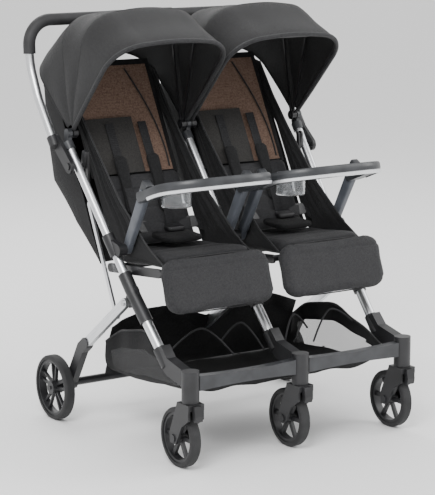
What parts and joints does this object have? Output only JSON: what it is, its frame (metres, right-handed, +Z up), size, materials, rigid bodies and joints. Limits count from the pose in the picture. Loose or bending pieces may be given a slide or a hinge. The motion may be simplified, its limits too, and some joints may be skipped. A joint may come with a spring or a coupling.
{
  "type": "double stroller",
  "caption": "Folding side-by-side double stroller with reclining seats, sun canopies, bumper trays, swivelling front casters, fixed rear wheels and an under-seat basket.",
  "frame": {"origin": "centre of the overall footprint, on the ground", "axes": "+X across to the rider's left seat seen from the front right, -Y is the front (direction of travel), +Z up"},
  "size_m": [0.781, 0.7754, 1.0454],
  "materials": {
    "silver": "brushed",
    "dark_plastic": "matte",
    "grey_plastic": "matte",
    "black_metal": "satin",
    "steel_pin": "brushed",
    "black_fabric": "woven",
    "foam": "foam",
    "tyre": "matte",
    "clear_plastic": "clear"
  },
  "bodies": {
    "frame": {"front_tubes": "silver", "lower_legs": "silver", "knee_sleeves": "dark_plastic", "leg_pins": "steel_pin", "tray_brackets": "dark_plastic", "canopy_caps": "grey_plastic", "caster_housings": "grey_plastic", "front_crossbars": "grey_plastic", "seat_rails": "black_metal", "seat_pads": "black_fabric", "crotch_buckles": "black_fabric", "side_wings": "black_fabric", "back_pouches": "black_fabric", "rear_bows": "black_metal", "basket": "black_fabric", "left_canopy": "black_fabric", "right_canopy": "black_fabric"},
    "handle": {"knuckles": "dark_plastic", "cranks": "black_metal", "handle_tube": "silver", "grips": "foam", "button_housing": "dark_plastic"},
    "fold_button": {"fold_button": "dark_plastic"},
    "rear_frame": {"rear_legs": "silver", "rear_feet": "dark_plastic", "rear_axle_tube": "black_metal"},
    "links": {"fold_links": "silver", "link_ends": "dark_plastic"},
    "brake": {"brake_pedal": "dark_plastic"},
    "left_rear_wheel": {"left_rear_rim": "dark_plastic", "left_rear_tyre": "tyre"},
    "left_back": {"left_backrest": "black_fabric"},
    "left_calf": {"left_calf_rest": "black_fabric"},
    "left_front_bow": {"left_front_bow": "black_metal"},
    "left_mid_bow": {"left_mid_bow": "black_metal"},
    "left_arms": {"left_tray_arms": "grey_plastic"},
    "left_tray": {"left_tray": "dark_plastic", "left_cup_holder": "clear_plastic"},
    "right_rear_wheel": {"right_rear_rim": "dark_plastic", "right_rear_tyre": "tyre"},
    "right_back": {"right_backrest": "black_fabric"},
    "right_calf": {"right_calf_rest": "black_fabric"},
    "right_front_bow": {"right_front_bow": "black_metal"},
    "right_mid_bow": {"right_mid_bow": "black_metal"},
    "right_arms": {"right_tray_arms": "grey_plastic"},
    "right_tray": {"right_tray": "dark_plastic", "right_cup_holder": "clear_plastic"},
    "left_caster": {"left_fork": "dark_plastic"},
    "left_front_wheel": {"left_front_rim": "dark_plastic", "left_front_tyre": "tyre"},
    "left_lock": {"left_swivel_lock": "dark_plastic"},
    "middle_caster": {"middle_fork": "dark_plastic"},
    "middle_front_wheel": {"middle_front_rim": "dark_plastic", "middle_front_tyre": "tyre"},
    "middle_lock": {"middle_swivel_lock": "dark_plastic"},
    "right_caster": {"right_fork": "dark_plastic"},
    "right_front_wheel": {"right_front_rim": "dark_plastic", "right_front_tyre": "tyre"},
    "right_lock": {"right_swivel_lock": "dark_plastic"}
  },
  "joints": [
    {"name": "fold", "type": "hinge", "parent": "frame", "child": "handle", "pos_m": [0, 0.11624, 0.668], "axis": [1, 0, 0], "range_deg": [0, 130]},
    {"name": "rear_fold", "type": "hinge", "parent": "frame", "child": "rear_frame", "pos_m": [0, -0.0928, 0.35927], "axis": [1, 0, 0], "range_deg": [-49.8, 0], "deforming": ["basket"]},
    {"name": "link_fold", "type": "hinge", "parent": "rear_frame", "child": "links", "pos_m": [0, -0.02625, 0.311], "axis": [1, 0, 0], "range_deg": [0, 42.75]},
    {"name": "fold_button_press", "type": "slide", "parent": "handle", "child": "fold_button", "axis": [0, 1, 0], "range_m": [0, 0.003], "stiffness_N_per_m": 400, "springref_m": -0.002},
    {"name": "brake_press", "type": "hinge", "parent": "rear_frame", "child": "brake", "pos_m": [0, 0.17775, 0.102], "axis": [1, 0, 0], "range_deg": [-20, 0]},
    {"name": "left_rear_wheel_spin", "type": "hinge", "parent": "rear_frame", "child": "left_rear_wheel", "pos_m": [-0.361, 0.22075, 0.0835], "axis": [1, 0, 0], "continuous": true},
    {"name": "left_recline", "type": "hinge", "parent": "frame", "child": "left_back", "pos_m": [-0.167, 0.04335, 0.446], "axis": [1, 0, 0], "range_deg": [-32, 0], "deforming": ["back_pouches"]},
    {"name": "left_calf_tilt", "type": "hinge", "parent": "frame", "child": "left_calf", "pos_m": [-0.17, -0.21436, 0.47789], "axis": [1, 0, 0], "range_deg": [-60, 0]},
    {"name": "left_canopy_fold", "type": "hinge", "parent": "frame", "child": "left_front_bow", "pos_m": [-0.17425, 0.15375, 0.745], "axis": [1, 0, 0], "range_deg": [-42, 0], "deforming": ["left_canopy"]},
    {"name": "left_mid_bow_fold", "type": "hinge", "parent": "frame", "child": "left_mid_bow", "pos_m": [-0.17425, 0.15375, 0.745], "axis": [1, 0, 0], "range_deg": [-19, 0]},
    {"name": "left_tray_swing", "type": "hinge", "parent": "frame", "child": "left_arms", "pos_m": [-0.167, -0.06025, 0.483], "axis": [1, 0, 0], "range_deg": [0, 39.01]},
    {"name": "left_tray_pull", "type": "slide", "parent": "left_arms", "child": "left_tray", "axis": [0, -0.4894, 0.8721], "range_m": [0, 0.02]},
    {"name": "right_rear_wheel_spin", "type": "hinge", "parent": "rear_frame", "child": "right_rear_wheel", "pos_m": [0.361, 0.22075, 0.0835], "axis": [1, 0, 0], "continuous": true},
    {"name": "right_recline", "type": "hinge", "parent": "frame", "child": "right_back", "pos_m": [0.167, 0.04335, 0.446], "axis": [1, 0, 0], "range_deg": [-32, 0]},
    {"name": "right_calf_tilt", "type": "hinge", "parent": "frame", "child": "right_calf", "pos_m": [0.17, -0.21436, 0.47789], "axis": [1, 0, 0], "range_deg": [-60, 0]},
    {"name": "right_canopy_fold", "type": "hinge", "parent": "frame", "child": "right_front_bow", "pos_m": [0.17425, 0.15375, 0.745], "axis": [1, 0, 0], "range_deg": [-42, 0], "deforming": ["right_canopy"]},
    {"name": "right_mid_bow_fold", "type": "hinge", "parent": "frame", "child": "right_mid_bow", "pos_m": [0.17425, 0.15375, 0.745], "axis": [1, 0, 0], "range_deg": [-19, 0]},
    {"name": "right_tray_swing", "type": "hinge", "parent": "frame", "child": "right_arms", "pos_m": [0.167, -0.06025, 0.483], "axis": [1, 0, 0], "range_deg": [0, 39.01]},
    {"name": "right_tray_pull", "type": "slide", "parent": "right_arms", "child": "right_tray", "axis": [0, -0.4894, 0.8721], "range_m": [0, 0.02]},
    {"name": "left_swivel", "type": "hinge", "parent": "frame", "child": "left_caster", "pos_m": [-0.315, -0.34925, 0.166], "axis": [0, 0, 1], "continuous": true},
    {"name": "left_front_wheel_spin", "type": "hinge", "parent": "left_caster", "child": "left_front_wheel", "pos_m": [-0.315, -0.30625, 0.0725], "axis": [1, 0, 0], "continuous": true},
    {"name": "left_lock_slide", "type": "slide", "parent": "left_caster", "child": "left_lock", "axis": [0, 0, 1], "range_m": [-0.005, 0]},
    {"name": "middle_swivel", "type": "hinge", "parent": "frame", "child": "middle_caster", "pos_m": [0, -0.34925, 0.166], "axis": [0, 0, 1], "continuous": true},
    {"name": "middle_front_wheel_spin", "type": "hinge", "parent": "middle_caster", "child": "middle_front_wheel", "pos_m": [0, -0.30625, 0.0725], "axis": [1, 0, 0], "continuous": true},
    {"name": "middle_lock_slide", "type": "slide", "parent": "middle_caster", "child": "middle_lock", "axis": [0, 0, 1], "range_m": [-0.005, 0]},
    {"name": "right_swivel", "type": "hinge", "parent": "frame", "child": "right_caster", "pos_m": [0.315, -0.34925, 0.166], "axis": [0, 0, 1], "continuous": true},
    {"name": "right_front_wheel_spin", "type": "hinge", "parent": "right_caster", "child": "right_front_wheel", "pos_m": [0.315, -0.30625, 0.0725], "axis": [1, 0, 0], "continuous": true},
    {"name": "right_lock_slide", "type": "slide", "parent": "right_caster", "child": "right_lock", "axis": [0, 0, 1], "range_m": [-0.005, 0]}
  ],
  "couplings": [
    {"joint": "rear_fold", "follows": "fold", "ratio": -0.383},
    {"joint": "link_fold", "follows": "fold", "ratio": 0.3287},
    {"joint": "left_mid_bow_fold", "follows": "left_canopy_fold", "ratio": 0.45},
    {"joint": "left_tray_swing", "follows": "fold", "ratio": 0.3},
    {"joint": "right_mid_bow_fold", "follows": "right_canopy_fold", "ratio": 0.45},
    {"joint": "right_tray_swing", "follows": "fold", "ratio": 0.3}
  ]
}
